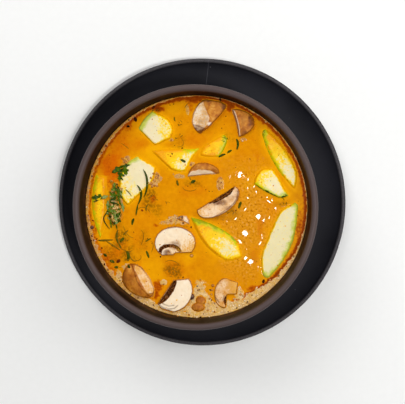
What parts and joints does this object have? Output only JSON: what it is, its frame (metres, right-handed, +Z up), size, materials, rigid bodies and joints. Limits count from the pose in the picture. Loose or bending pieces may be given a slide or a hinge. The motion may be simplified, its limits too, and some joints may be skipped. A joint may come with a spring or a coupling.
{
  "type": "bowl of tom yum soup",
  "caption": "Round black stoneware bowl of creamy orange tom yum soup with zucchini chunks, sliced mushrooms and coriander, standing on a black underplate.",
  "frame": {"origin": "middle of the underplate's foot ring, on the surface it stands on", "axes": "+Z up out of the bowl; +X and +Y across the bowl, with the herb heap on the -X side and the two caps by the wall on the +Y side"},
  "size_m": [0.202, 0.202, 0.066],
  "materials": {
    "plate_stoneware": "matte black stoneware",
    "bowl_stoneware": "satin dark brown-black glaze",
    "soup": "glossy creamy orange broth",
    "zucchini": "moist pale flesh with green skin",
    "mushroom": "cooked button mushroom, pale flesh and brown skin",
    "herb": "wet chopped coriander leaf"
  },
  "bodies": {
    "root": {"underplate": "plate_stoneware", "bowl": "bowl_stoneware", "soup": "soup", "zucchini_end_piece": "zucchini", "zucchini_under_herbs": "zucchini", "zucchini_sunken_tail": "zucchini", "zucchini_sunken_slab": "zucchini", "zucchini_long_wedge": "zucchini", "zucchini_short_wedge": "zucchini", "zucchini_half_moon": "zucchini", "zucchini_middle_wedge": "zucchini", "zucchini_by_the_wall": "zucchini", "mushroom_slice_arched": "mushroom", "mushroom_slice_whole": "mushroom", "mushroom_slice_upturned": "mushroom", "mushroom_slice_tan": "mushroom", "mushroom_cap_broad": "mushroom", "mushroom_cap_half": "mushroom", "mushroom_cap_crescent": "mushroom", "mushroom_cap_ridged": "mushroom", "mushroom_scrap": "mushroom", "mushroom_chip": "mushroom", "herb_heap": "herb", "herb_sprig_back": "herb", "herb_sprig_left": "herb"}
  },
  "joints": []
}
